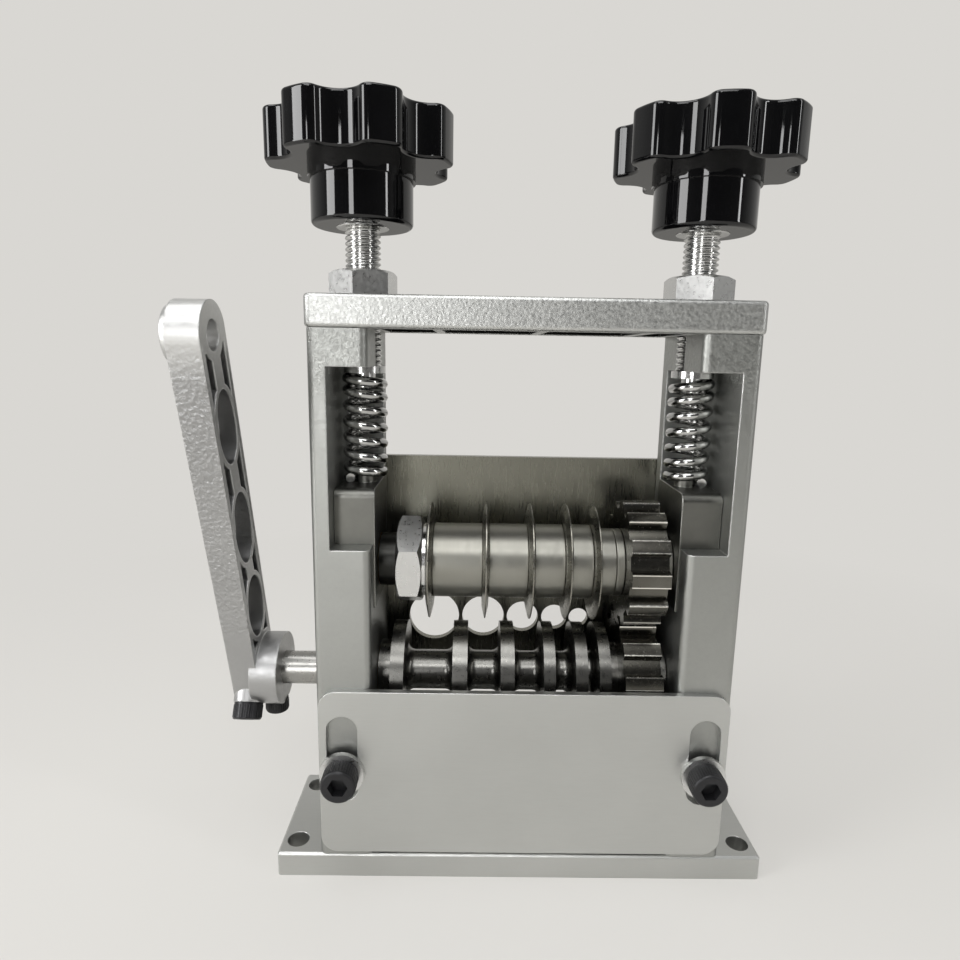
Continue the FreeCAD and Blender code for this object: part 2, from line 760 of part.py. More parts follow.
def make_crank_arm():
    outer_low = arm_inner_x - arm_thickness_bottom
    outer_top = arm_inner_x - arm_thickness_top
    place = lambda a, b: Vector(arm_inner_x + 1, a, b)
    slab = arm_outline(0, place).extrude(Vector(-arm_thickness_bottom - 3, 0, 0))
    tip = crank_radius + arm_width_top
    side = [(arm_inner_x, -arm_tail), (arm_inner_x, tip), (outer_top, tip),
            (outer_top, crank_radius), (outer_low, 15.0), (outer_low, -arm_tail)]
    wedge = outline(side, lambda p: Vector(p.x, -arm_width_bottom, p.y))
    arm = slab.common(wedge.extrude(Vector(0, 2 * arm_width_bottom, 0)))
    corners = [edge for edge in arm.Edges if edge.BoundBox.XLength > 5
               and edge.BoundBox.YLength < 1e-6 and edge.BoundBox.ZMax < -arm_tail + 0.1]
    arm = arm.makeFillet(arm_tail_radius, corners)
    hub = rod(hub_boss_radius, (arm_inner_x - 2, 0, 0), X_AXIS, hub_boss_face_x - arm_inner_x + 2)
    grip = cone(arm_width_top / 2 - 0.4, arm_width_top / 2 - 1.4, (outer_top + 1, 0, crank_radius),
                X_AXIS * -1, grip_boss_height + 1)
    arm = arm.fuse(hub).fuse(grip)
    pad = rod(arm_head_radius + screw_pad, (arm_screw_x, 0, 0), arm_screw_way, arm_screw_seat)
    arm = arm.fuse(pad.common(box(outer_low, arm_inner_x, -20, 20, -20, 20)))
    floor = arm_inner_x - arm_pocket_depth
    place = lambda a, b: Vector(floor, a, b)
    hollow = arm_outline(arm_rim, place).extrude(Vector(arm_pocket_depth + 1, 0, 0))
    reach = arm_width_bottom
    hollow = hollow.common(box(floor - 1, arm_inner_x + 2, -reach, reach, 0, crank_radius - 3.0))
    hollow = hollow.cut(box(floor - 1, arm_inner_x + 2, -arm_spine / 2, arm_spine / 2, 0, crank_radius))
    hollow = hollow.cut(rod(grip_hole_radius + grip_eye_wall, (floor - 1, 0, crank_radius), X_AXIS, 20))
    hollow = hollow.cut(rod(hub_boss_radius + arm_rib, (floor - 1, 0, 0), X_AXIS, 20))
    cups = []
    for centre, length, width in zip(pocket_places, pocket_lengths, pocket_widths):
        for grow in (arm_rib, 0.0):
            oval = Part.Ellipse(Vector(floor, 0, centre), length / 2 + grow, width / 2 + grow)
            oval.Axis = X_AXIS
            oval.XAxis = Z_AXIS
            face = Part.Face(Part.Wire(oval.toShape()))
            cup = face.extrude(Vector(arm_pocket_depth + 1, 0, 0))
            if grow:
                hollow = hollow.cut(cup)
            else:
                cups.append(cup)
    webs = [solid for solid in hollow.Solids if solid.Volume > 8.0]
    print("crank arm: %d triangles between the pockets" % len(webs))
    for piece in webs + cups:
        arm = arm.cut(piece)
    arm = arm.cut(rod(grip_hole_radius, (outer_low - 5, 0, crank_radius), X_AXIS, 20))
    arm = arm.cut(rod(crank_shaft_radius + assembly_gap, (outer_low - 1, 0, 0), X_AXIS, 20))
    arm = arm.cut(rod(arm_screw_radius + assembly_gap, (arm_screw_x, 0, 0), arm_screw_way, 20))
    seat = Vector(arm_screw_x, 0, 0) + arm_screw_way * arm_screw_seat
    arm = arm.cut(rod(arm_head_radius + screw_pad, seat, arm_screw_way, 20))
    arm = arm.cut(rod(set_screw_radius + assembly_gap, (set_screw_x, 0, 0), set_screw_way, 20))
    seat = Vector(set_screw_x, 0, 0) + set_screw_way * set_screw_seat
    arm = arm.cut(rod(set_head_radius + screw_pad, seat, set_screw_way, 20))
    return arm.removeSplitter()


def lean(shape):
    """Turn an arm piece from upright to its rest lean and bring it to the roller's axis."""
    leaning = Placement(Vector(0, 0, roller_axis_z), Rotation(X_AXIS, crank_lean))
    moved = shape.copy()
    moved.Placement = leaning.multiply(moved.Placement)
    return moved


def main():
    save(make_base(), "base_plate")
    save(make_side_frame(True), "left_side_frame")
    save(make_side_frame(False), "right_side_frame")
    save(make_top_plate(), "top_plate")
    save(make_rear_plate(), "rear_guide_plate")
    save(make_guard(), "front_guard_plate")

    nut_bore = screw_radius + running_gap
    left_nut = hex_nut(top_nut_flats, nut_bore, (-screw_x, 0, top_of_plate), Z_AXIS, top_nut_height,
                       left_nut_turn)
    right_nut = hex_nut(top_nut_flats, nut_bore, (screw_x, 0, top_of_plate), Z_AXIS, top_nut_height,
                        right_nut_turn)
    save(group([left_nut, right_nut]), "top_nuts")

    top_screws = []
    base_screws = []
    rear_screws = []
    for sy in (-1, 1):
        seat = Vector(plate_screw_x, sy * plate_screw_y, top_of_plate - plate_head_sink)
        top_screws += both_sides(cap_screw(plate_screw_radius, plate_screw_length, plate_head_radius,
                                           plate_head_height, seat, Z_AXIS * -1))
        foot = Vector(plate_screw_x, sy * base_screw_y, 0)
        base_screws += both_sides(flat_screw(base_screw_radius, base_screw_length, base_head_radius,
                                             base_head_height, foot, Z_AXIS))
    for height in rear_screw_heights:
        seat = Vector(rear_screw_x, back_y + rear_thickness, height)
        rear_screws += both_sides(cap_screw(rear_screw_radius, rear_screw_length, rear_head_radius,
                                            rear_head_height, seat, Y_AXIS * -1))
    save(group(top_screws), "top_plate_screws")
    save(group(base_screws), "base_screws")
    save(group(rear_screws), "rear_plate_screws")

    washer_back = front_y - guard_thickness
    washer = rod(guard_washer_radius, (guard_screw_x, washer_back, guard_screw_z), Y_AXIS * -1,
                 guard_washer_thickness)
    washer = washer.cut(rod(guard_screw_radius + 0.2, (guard_screw_x, 0, guard_screw_z), Y_AXIS * -1, 40))
    save(group(both_sides(washer)), "guard_washers")
    seat = Vector(guard_screw_x, washer_back - guard_washer_thickness, guard_screw_z)
    screw = cap_screw(guard_screw_radius, guard_screw_length, guard_head_radius, guard_head_height,
                      seat, Y_AXIS)
    save(group(both_sides(screw)), "guard_screws")

    bush_out = bush_radius - assembly_gap
    bush_in = journal_radius + running_gap
    save(ring(bush_out, bush_in, -half_width, -inner_x, roller_axis_z), "left_shaft_bush")
    save(ring(bush_out, bush_in, inner_x, inner_x + right_bush_length, roller_axis_z),
         "right_shaft_bush")

    save(make_roller(), "feed_roller")
    drive_way = key_bar(gear_left - 1, gear_right + 1, roller_axis_z, key_gap)
    half_tooth = 180.0 / gear_teeth
    save(make_gear(roller_axis_z, 90 + half_tooth, cutter_core_radius + assembly_gap, drive_way),
         "drive_gear")
    save(key_bar(gear_left, gear_right, roller_axis_z, 0), "drive_gear_key")
    save(ring(roller_hub_radius, journal_radius + assembly_gap, gear_right, inner_x - thrust_gap,
              roller_axis_z), "drive_gear_collar")

    save(lean(make_crank_arm()), "crank_arm")
    seat = Vector(arm_screw_x, 0, 0) + arm_screw_way * arm_screw_seat
    reach = arm_screw_seat - crank_shaft_radius - assembly_gap
    screw = cap_screw(arm_screw_radius, reach, arm_head_radius, arm_head_height, seat,
                      arm_screw_way * -1)
    save(lean(screw), "crank_arm_screw")
    seat = Vector(set_screw_x, 0, 0) + set_screw_way * set_screw_seat
    reach = set_screw_seat - crank_shaft_radius - assembly_gap
    screw = cap_screw(set_screw_radius, reach, set_head_radius, set_head_height, seat,
                      set_screw_way * -1)
    save(lean(screw), "crank_set_screw")

    save(make_block(), "right_slide_block")
    save(mirrored(make_block()), "left_slide_block")
    block_outer = slot_x - slide_clearance
    block_bush = ring(bush_out, bush_in, block_inner_x, block_outer, cutter_axis_z)
    save(block_bush, "right_block_bush")
    save(mirrored(block_bush), "left_block_bush")

    save(make_cutter_shaft(), "cutter_shaft")
    save(key_bar(first_blade_left, gear_right, cutter_axis_z, 0), "cutter_key")
    for i, x in enumerate(blade_positions):
        save(make_blade(x), "blade_%d" % (i + 1))
    for i in range(len(blade_positions) - 1):
        start = blade_positions[i] + blade_thickness / 2
        end = blade_positions[i + 1] - blade_thickness / 2
        save(make_spacer(start, end, spacer_radius), "spacer_%d" % (i + 1))
    last_end = last_blade_right + last_spacer_length
    save(make_spacer(last_blade_right, last_end, end_collar_radius), "spacer_5")
    save(make_spacer(last_end, gear_left, end_collar_radius), "end_collar")
    cutter_way = key_bar(gear_left - 1, gear_right + 1, cutter_axis_z, key_gap)
    save(make_gear(cutter_axis_z, 90, cutter_core_radius + assembly_gap, cutter_way), "cutter_gear")
    nut_bore = cutter_core_radius + assembly_gap
    save(hex_nut(cutter_nut_flats, nut_bore, (nut_left, 0, cutter_axis_z), X_AXIS,
                 cutter_nut_thickness, cutter_nut_turn), "cutter_nut")
    save(ring(nut_washer_radius, nut_bore, nut_right, first_blade_left, cutter_axis_z),
         "cutter_nut_washer")

    save(make_spring(1), "right_spring")
    save(make_spring(-1), "left_spring")
    save(make_seat(), "right_spring_seat")
    save(mirrored(make_seat()), "left_spring_seat")
    save(make_pressure_screw(), "right_pressure_screw")
    save(mirrored(make_pressure_screw()), "left_pressure_screw")
    save(make_knob(screw_x, right_knob_turn), "right_knob")
    save(make_knob(-screw_x, left_knob_turn), "left_knob")


main()
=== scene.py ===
import bpy
import bmesh
import json
import math
from mathutils import Matrix, Vector


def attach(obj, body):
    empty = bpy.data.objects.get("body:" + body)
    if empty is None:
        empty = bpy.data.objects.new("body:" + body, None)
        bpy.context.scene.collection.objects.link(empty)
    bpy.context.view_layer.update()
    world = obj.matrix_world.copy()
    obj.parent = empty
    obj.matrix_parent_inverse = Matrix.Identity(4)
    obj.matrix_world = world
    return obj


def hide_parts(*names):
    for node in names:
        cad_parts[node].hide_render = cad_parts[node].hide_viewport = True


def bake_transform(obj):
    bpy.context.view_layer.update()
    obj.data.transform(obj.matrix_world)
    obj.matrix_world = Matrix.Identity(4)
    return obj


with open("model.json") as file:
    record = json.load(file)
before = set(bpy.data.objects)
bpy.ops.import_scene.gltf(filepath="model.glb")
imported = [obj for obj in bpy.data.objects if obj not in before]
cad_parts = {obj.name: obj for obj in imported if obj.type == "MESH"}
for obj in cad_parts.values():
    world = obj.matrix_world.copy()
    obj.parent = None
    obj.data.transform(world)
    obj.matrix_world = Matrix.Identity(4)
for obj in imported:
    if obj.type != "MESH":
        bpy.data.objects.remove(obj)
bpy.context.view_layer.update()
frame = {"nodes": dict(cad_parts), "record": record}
nodes = frame["nodes"]
print("stage: frame loaded")

# where the photograph was taken: metres, degrees, and a focal length in pixels
camera = {"place": (-0.0158, -0.1982, 0.1557), "focalPixels": 672.97, "imagePixels": 960.0,
          "sensorWidth": 36.0, "pitch": 10.54, "yaw": 0.60, "roll": 0.99, "clip": (0.01, 20.0)}


def placeCamera(c):
    pitch, yaw, roll = (math.radians(c[k]) for k in ("pitch", "yaw", "roll"))
    level = math.cos(pitch)
    ahead = Vector((math.sin(yaw) * level, math.cos(yaw) * level, -math.sin(pitch)))
    right = Vector((math.cos(yaw), -math.sin(yaw), 0))
    up = right.cross(ahead)
    tiltedRight = right * math.cos(roll) + up * math.sin(roll)
    tiltedUp = up * math.cos(roll) - right * math.sin(roll)
    turn = Matrix((tiltedRight, tiltedUp, -ahead)).transposed().to_4x4()
    data = bpy.data.cameras.new("photoCamera")
    data.sensor_width = c["sensorWidth"]
    data.lens = c["sensorWidth"] * c["focalPixels"] / c["imagePixels"]
    data.clip_start, data.clip_end = c["clip"]
    obj = bpy.data.objects.new("photoCamera", data)
    bpy.context.scene.collection.objects.link(obj)
    obj.matrix_world = Matrix.Translation(Vector(c["place"])) @ turn
    bpy.context.scene.camera = obj


placeCamera(camera)
print("stage: camera placed")


def addNode(tree, kind, **values):
    node = tree.nodes.new(kind)
    for key, value in values.items():
        setattr(node, key, value)
    return node


def newMaterial(name):
    mat = bpy.data.materials.new(name)
    mat.use_nodes = True
    return mat, mat.node_tree, mat.node_tree.nodes["Principled BSDF"]


def objectCoords(tree, scale=(1, 1, 1)):
    coords = addNode(tree, "ShaderNodeTexCoord")
    mapping = addNode(tree, "ShaderNodeMapping")
    mapping.inputs["Scale"].default_value = scale
    tree.links.new(coords.outputs["Object"], mapping.inputs["Vector"])
    return mapping.outputs["Vector"]


# most noise values lie between these two
noiseRange = (0.3, 0.7)


def noise(tree, vector, scale, detail):
    node = addNode(tree, "ShaderNodeTexNoise")
    node.inputs["Scale"].default_value = scale
    node.inputs["Detail"].default_value = detail
    tree.links.new(vector, node.inputs["Vector"])
    return node.outputs["Fac"]


def ramp(tree, value, stops):
    node = addNode(tree, "ShaderNodeValToRGB")
    band = node.color_ramp
    while len(band.elements) < len(stops):
        band.elements.new(0.5)
    for element, (place, colour) in zip(band.elements, stops):
        element.position = place
        element.color = (*colour, 1.0)
    tree.links.new(value, node.inputs["Fac"])
    return node.outputs["Color"]


def spread(tree, value, low, high, fromLow=noiseRange[0], fromHigh=noiseRange[1]):
    # map a range of values to another, and hold them at its ends
    node = addNode(tree, "ShaderNodeMapRange")
    node.inputs["From Min"].default_value = fromLow
    node.inputs["From Max"].default_value = fromHigh
    node.inputs["To Min"].default_value = low
    node.inputs["To Max"].default_value = high
    tree.links.new(value, node.inputs["Value"])
    return node.outputs["Result"]


def calc(tree, operation, first, second=0.0):
    # plain arithmetic in a shader tree or a geometry rule, on sockets or fixed numbers
    node = addNode(tree, "ShaderNodeMath", operation=operation)
    for socket, value in zip(node.inputs, (first, second)):
        if isinstance(value, float):
            socket.default_value = value
        else:
            tree.links.new(value, socket)
    return node.outputs[0]


def mixColour(tree, fac, first, second):
    node = addNode(tree, "ShaderNodeMixRGB")
    tree.links.new(fac, node.inputs["Fac"])
    for socket, value in ((node.inputs["Color1"], first), (node.inputs["Color2"], second)):
        if isinstance(value, tuple):
            socket.default_value = (*value, 1.0)
        else:
            tree.links.new(value, socket)
    return node.outputs["Color"]


# how far the rounded normal may lean from the true one: all edge, and no edge
edgeCosines = (0.88, 0.995)


def edgeMask(tree, width):
    # one on sharp edges, falling to zero a bevel's width away from them
    bevel = addNode(tree, "ShaderNodeBevel", samples=4)
    bevel.inputs["Radius"].default_value = width
    geometry = addNode(tree, "ShaderNodeNewGeometry")
    product = addNode(tree, "ShaderNodeVectorMath", operation="DOT_PRODUCT")
    tree.links.new(bevel.outputs["Normal"], product.inputs[0])
    tree.links.new(geometry.outputs["Normal"], product.inputs[1])
    return bevel.outputs["Normal"], spread(tree, product.outputs["Value"], 1.0, 0.0, *edgeCosines)


def axisOf(tree, axis):
    parts = addNode(tree, "ShaderNodeSeparateXYZ")
    tree.links.new(objectCoords(tree), parts.inputs["Vector"])
    return parts.outputs[axis]


# the height that the height masks reach up to
maskHeight = 0.25


def heightMask(tree, stops):
    # follows the height of the point through (height, value) stops, for castings machined in places
    height = spread(tree, axisOf(tree, "Z"), 0.0, 1.0, 0.0, maskHeight)
    return ramp(tree, height, [(z / maskHeight, (v, v, v)) for z, v in stops])


def endMask(tree, start, full):
    # one on the part of a turned piece beyond a place on its axis
    return spread(tree, axisOf(tree, "X"), 0.0, 1.0, start, full)


def rimMask(tree, lean, axisZ, inner, outer):
    # one near the front and back edges of the leaning crank, zero along its middle
    turn = math.radians(lean)
    level = calc(tree, "MULTIPLY", axisOf(tree, "Y"), math.cos(turn))
    raised = calc(tree, "SUBTRACT", axisOf(tree, "Z"), axisZ)
    across = calc(tree, "ADD", level, calc(tree, "MULTIPLY", raised, math.sin(turn)))
    return spread(tree, calc(tree, "ABSOLUTE", across), 0.0, 1.0, inner, outer)


# how softly the masks begin for the painted shade in the hollow and the painted highlight on the teeth
hollowShadeSoft = 0.0002
toothHighlightSoft = 0.0001


def paintedHollowShadeMask(tree, halfX, halfY, openZ):
    # one inside the hollow under the top plate, between its walls and above its open side; there the
    # colour is painted near black as shade
    inX = spread(tree, calc(tree, "ABSOLUTE", axisOf(tree, "X")), 1.0, 0.0, halfX, halfX + hollowShadeSoft)
    inY = spread(tree, calc(tree, "ABSOLUTE", axisOf(tree, "Y")), 1.0, 0.0, halfY, halfY + hollowShadeSoft)
    above = spread(tree, axisOf(tree, "Z"), 0.0, 1.0, openZ, openZ + hollowShadeSoft)
    return calc(tree, "MULTIPLY", calc(tree, "MULTIPLY", inX, inY), above)


def toothHighlightMask(tree, axisZ, first, count, edgeRadius, edgeArc):
    # one along the two corners of every tooth tip of a gear that turns about X, where a bright highlight
    # is painted
    y = axisOf(tree, "Y")
    z = calc(tree, "SUBTRACT", axisOf(tree, "Z"), axisZ)
    square = calc(tree, "ADD", calc(tree, "MULTIPLY", y, y), calc(tree, "MULTIPLY", z, z))
    radius = calc(tree, "SQRT", square)
    angle = calc(tree, "SUBTRACT", calc(tree, "ARCTAN2", z, y), math.radians(first))
    pitches = calc(tree, "ADD", calc(tree, "MULTIPLY", angle, count / (2 * math.pi)), 0.5)
    away = calc(tree, "ABSOLUTE", calc(tree, "SUBTRACT", calc(tree, "FRACT", pitches), 0.5))
    arc = calc(tree, "MULTIPLY", calc(tree, "MULTIPLY", away, 2 * math.pi / count), radius)
    nearTip = spread(tree, radius, 0.0, 1.0, edgeRadius, edgeRadius + toothHighlightSoft)
    nearCorner = spread(tree, arc, 0.0, 1.0, edgeArc, edgeArc + toothHighlightSoft)
    return calc(tree, "MULTIPLY", nearTip, nearCorner)


maskOfKind = {"ends": heightMask, "shaft": endMask, "hollowShade": paintedHollowShadeMask, "toothHighlight": toothHighlightMask}


# what a finish has unless it says otherwise
plainFinish = {"metallic": 1.0, "cloudScale": 30.0, "cloudStretch": (1, 1, 1), "cloudDetail": 4.0,
               "grainScale": 900.0, "stretch": (1, 1, 1), "grainDetail": 3.0, "grainHeight": 0.15,
               "edgeWidth": 0.00035, "wearScale": 260.0, "wearDetail": 4.0, "wear": (0.45, 1.0),
               "bump": 0.5, "bumpDistance": 0.0002}
pebbleShape = {"smoothness": 0.6, "fineScale": 1.7, "fineDetail": 2.0}


def pebbleHeight(tree, p):
    # the skin of a sand casting, left off where it is machined
    cells = addNode(tree, "ShaderNodeTexVoronoi", feature="SMOOTH_F1")
    cells.inputs["Scale"].default_value = p["scale"]
    cells.inputs["Smoothness"].default_value = pebbleShape["smoothness"]
    tree.links.new(objectCoords(tree), cells.inputs["Vector"])
    fineScale = p["scale"] * pebbleShape["fineScale"]
    fine = noise(tree, objectCoords(tree), fineScale, pebbleShape["fineDetail"])
    bumps = calc(tree, "MULTIPLY", calc(tree, "ADD", cells.outputs["Distance"], fine), p["height"])
    if "where" in p:
        bumps = calc(tree, "MULTIPLY", bumps, heightMask(tree, p["where"]))
    if "rim" in p:
        bumps = calc(tree, "MULTIPLY", bumps, rimMask(tree, *p["rim"]))
    return bumps


def makeFinish(name, changes):
    f = {**plainFinish, **changes}
    mat, tree, shader = newMaterial(name)
    link = tree.links.new
    shader.inputs["Metallic"].default_value = f["metallic"]
    cloudy = noise(tree, objectCoords(tree, f["cloudStretch"]), f["cloudScale"], f["cloudDetail"])
    colour = ramp(tree, cloudy, list(zip(noiseRange, (f["dark"], f["light"]))))
    grain = noise(tree, objectCoords(tree, f["stretch"]), f["grainScale"], f["grainDetail"])
    rough = spread(tree, grain, *f["rough"])
    for kind, makeMask in maskOfKind.items():
        if kind in f:
            colour = mixColour(tree, makeMask(tree, *f[kind]["where"]), colour, f[kind]["colour"])
    bump = addNode(tree, "ShaderNodeBump")
    # corners are coloured brighter, partly as wear and partly as a painted highlight, and noise breaks
    # it up
    if "edge" in f:
        rounded, mask = edgeMask(tree, f["edgeWidth"])
        wear = spread(tree, noise(tree, objectCoords(tree), f["wearScale"], f["wearDetail"]), *f["wear"])
        colour = mixColour(tree, calc(tree, "MULTIPLY", mask, wear), colour, f["edge"])
        link(rounded, bump.inputs["Normal"])
    link(colour, shader.inputs["Base Color"])
    link(rough, shader.inputs["Roughness"])
    height = calc(tree, "MULTIPLY", grain, f["grainHeight"])
    if "pebble" in f:
        height = calc(tree, "ADD", height, pebbleHeight(tree, f["pebble"]))
    bump.inputs["Strength"].default_value = f["bump"]
    bump.inputs["Distance"].default_value = f["bumpDistance"]
    link(height, bump.inputs["Height"])
    link(bump.outputs["Normal"], shader.inputs["Normal"])
    return mat


# heights and places in metres; "edge" is the colour where corners are brightened, partly as wear and
# partly as a painted highlight
finishes = {
    "castFrame": {"dark": (0.33, 0.335, 0.32), "light": (0.38, 0.385, 0.37), "rough": (0.36, 0.48),
                  "edge": (0.66, 0.66, 0.65), "edgeWidth": 0.0006,
                  "pebble": {"scale": 1000.0, "height": 0.7,
                             "where": [(0.0, 0.12), (0.142, 0.15), (0.150, 1.0)]}},
    # its tone is lighter than the frames' cast aluminium, which paints in the extra light that falls on
    # the top plate nearer the lamps
    "castTop": {"dark": (0.46, 0.465, 0.45), "light": (0.54, 0.545, 0.53), "rough": (0.34, 0.48),
                "edge": (0.70, 0.70, 0.69), "edgeWidth": 0.0005,
                "pebble": {"scale": 1100.0, "height": 0.45},
                # painted shade: the hollow under the plate is coloured near black, where shadow falls
                "hollowShade": {"where": (0.0424, 0.0165, 0.1621), "colour": (0.012, 0.012, 0.011)}},
    "castCrank": {"dark": (0.33, 0.33, 0.33), "light": (0.40, 0.40, 0.40), "rough": (0.32, 0.46),
                  "edge": (0.68, 0.68, 0.67), "edgeWidth": 0.0006,
                  "ends": {"where": [[(0.0, 0.2), (0.07, 0.1), (0.148, 0.0), (0.160, 1.0)]],
                           "colour": (0.62, 0.62, 0.61)},
                  "pebble": {"scale": 760.0, "height": 3.6,
                             "where": [(0.0, 0.0), (0.066, 0.05), (0.078, 0.9), (0.148, 1.0),
                                       (0.158, 0.0)],
                             "rim": (16.0, 0.058, 0.0070, 0.0080)}},
    "milledPlate": {"dark": (0.47, 0.475, 0.46), "light": (0.54, 0.545, 0.53), "rough": (0.34, 0.44),
                    "stretch": (0.12, 1, 1), "grainScale": 1700.0, "grainHeight": 0.25,
                    "cloudScale": 14.0, "edge": (0.70, 0.70, 0.69)},
    # its colour clouds are stretched upright into soft streaks, partly random tone and partly painted
    # reflections of the blades
    "rearSheet": {"dark": (0.19, 0.187, 0.155), "light": (0.25, 0.246, 0.21), "rough": (0.24, 0.34),
                  "stretch": (1, 1, 0.1), "grainScale": 1500.0, "grainHeight": 0.06,
                  "cloudScale": 9.0, "cloudStretch": (1.6, 1, 0.4)},
    "brightSteel": {"dark": (0.58, 0.58, 0.57), "light": (0.66, 0.66, 0.65), "rough": (0.14, 0.24),
                    "cloudScale": 30.0, "grainHeight": 0.03},
    "springSteel": {"dark": (0.40, 0.40, 0.39), "light": (0.52, 0.52, 0.51), "rough": (0.10, 0.18),
                    "cloudScale": 40.0, "grainHeight": 0.03},
    "nutSteel": {"dark": (0.60, 0.60, 0.59), "light": (0.66, 0.66, 0.65), "rough": (0.26, 0.36),
                 "cloudScale": 25.0, "grainHeight": 0.03, "bump": 0.04},
    "blackOxide": {"dark": (0.010, 0.010, 0.011), "light": (0.022, 0.022, 0.024), "rough": (0.28, 0.40),
                   "metallic": 0.4},
    "bronze": {"dark": (0.42, 0.29, 0.14), "light": (0.52, 0.37, 0.19), "rough": (0.28, 0.42)},
    "oiledSteel": {"dark": (0.15, 0.148, 0.138), "light": (0.20, 0.197, 0.185), "rough": (0.26, 0.32),
                   "cloudScale": 30.0, "grainHeight": 0.03,
                   "shaft": {"where": (-0.043, -0.045), "colour": (0.33, 0.325, 0.31)}},
    # painted highlight: both gears are coloured bright along their tooth tips' corners, where light
    # glints
    "driveGear": {"dark": (0.085, 0.082, 0.070), "light": (0.150, 0.145, 0.128), "rough": (0.20, 0.28),
                  "cloudScale": 50.0, "grainHeight": 0.04, "bump": 0.1,
                  "toothHighlight": {"where": (0.058, 105.0, 12.0, 0.01865, 0.00160),
                            "colour": (0.85, 0.83, 0.77)}},
    "cutterGear": {"dark": (0.085, 0.082, 0.070), "light": (0.150, 0.145, 0.128), "rough": (0.20, 0.28),
                   "cloudScale": 50.0, "grainHeight": 0.04, "bump": 0.1,
                   "toothHighlight": {"where": (0.094, 90.0, 12.0, 0.01865, 0.00160),
                             "colour": (0.85, 0.83, 0.77)}},
    "turnedSteel": {"dark": (0.26, 0.255, 0.225), "light": (0.31, 0.305, 0.275), "rough": (0.34, 0.42),
                    "stretch": (1, 0.1, 0.1), "grainScale": 1600.0, "grainHeight": 0.06,
                    "cloudScale": 25.0},
    "cutterShaft": {"dark": (0.24, 0.235, 0.205), "light": (0.30, 0.295, 0.265), "rough": (0.30, 0.38),
                    "grainHeight": 0.05, "cloudScale": 25.0,
                    "shaft": {"where": (-0.0365, -0.0375), "colour": (0.03, 0.03, 0.028)}},
    "blockSteel": {"dark": (0.13, 0.13, 0.12), "light": (0.18, 0.18, 0.165), "rough": (0.30, 0.42),
                   "cloudScale": 60.0, "edge": (0.60, 0.60, 0.57), "edgeWidth": 0.0005},
    "bladeSteel": {"dark": (0.22, 0.215, 0.185), "light": (0.31, 0.30, 0.265), "rough": (0.24, 0.36),
                   "cloudScale": 80.0, "grainHeight": 0.05},
    "knobBlack": {"dark": (0.0015, 0.0015, 0.0018), "light": (0.0032, 0.0032, 0.0036),
                  "rough": (0.03, 0.06), "metallic": 0.0, "cloudScale": 50.0, "grainHeight": 0.02,
                  "bump": 0.15},
}
materials = {name: makeFinish(name, f) for name, f in finishes.items()}
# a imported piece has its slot's finish, unless it is named here itself
finishOfSlot = {"satin_aluminium": "castFrame", "satin_steel_sheet": "rearSheet",
                "bright_steel": "brightSteel", "black_oxide_steel": "blackOxide",
                "bronze_bush": "bronze", "dark_oiled_steel": "oiledSteel",
                "warm_grey_steel": "turnedSteel", "blade_steel": "bladeSteel",
                "black_knob": "knobBlack"}
finishOfNode = {"base_plate": "milledPlate", "front_guard_plate": "milledPlate",
                "top_plate": "castTop", "crank_arm": "castCrank", "drive_gear": "driveGear",
                "cutter_gear": "cutterGear", "cutter_shaft": "cutterShaft",
                "left_slide_block": "blockSteel", "right_slide_block": "blockSteel",
                "top_nuts": "nutSteel", "cutter_nut": "nutSteel", "guard_washers": "nutSteel"}


def paint(obj, mat):
    obj.data.materials.clear()
    obj.data.materials.append(mat)


for part in frame["record"]["subparts"]:
    name = part["node"]
    paint(nodes[name], materials[finishOfNode.get(name, finishOfSlot[part["material_slot"]])])
print("stage: finishes on the packed pieces")


def addPiece(name, mesh, finish, body=None):
    # a new piece, which rides on a body when one is given
    obj = bpy.data.objects.new(name, mesh)
    bpy.context.scene.collection.objects.link(obj)
    paint(obj, materials[finish])
    if body:
        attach(obj, body)
    return obj


def newRule(name, sockets):
    # an empty geometry rule with named number inputs and a geometry output
    tree = bpy.data.node_groups.new(name, "GeometryNodeTree")
    tree.interface.new_socket("Geometry", in_out="INPUT", socket_type="NodeSocketGeometry")
    tree.interface.new_socket("Geometry", in_out="OUTPUT", socket_type="NodeSocketGeometry")
    for label in sockets:
        tree.interface.new_socket(label, in_out="INPUT", socket_type="NodeSocketFloat")
    tree.interface.new_socket("Finish", in_out="INPUT", socket_type="NodeSocketMaterial")
    return tree, addNode(tree, "NodeGroupInput"), addNode(tree, "NodeGroupOutput")


def finishRule(tree, source, target, geometry):
    real = addNode(tree, "GeometryNodeRealizeInstances")
    coat = addNode(tree, "GeometryNodeSetMaterial")
    tree.links.new(geometry, real.inputs["Geometry"])
    tree.links.new(real.outputs["Geometry"], coat.inputs["Geometry"])
    tree.links.new(source.outputs["Finish"], coat.inputs["Material"])
    tree.links.new(coat.outputs["Geometry"], target.inputs["Geometry"])


def runRule(tree, values, finish):
    # evaluate a rule once with these values and return the finished mesh
    obj = bpy.data.objects.new("ruleRunner", bpy.data.meshes.new("ruleRunner"))
    bpy.context.scene.collection.objects.link(obj)
    modifier = obj.modifiers.new("rule", "NODES")
    modifier.node_group = tree
    for item in tree.interface.items_tree:
        if item.in_out == "INPUT" and item.name in values:
            modifier[item.identifier] = float(values[item.name])
        elif item.in_out == "INPUT" and item.name == "Finish":
            modifier[item.identifier] = materials[finish]
    graph = bpy.context.evaluated_depsgraph_get()
    mesh = bpy.data.meshes.new_from_object(obj.evaluated_get(graph))
    obj.modifiers.clear()
    bpy.data.objects.remove(obj)
    return mesh


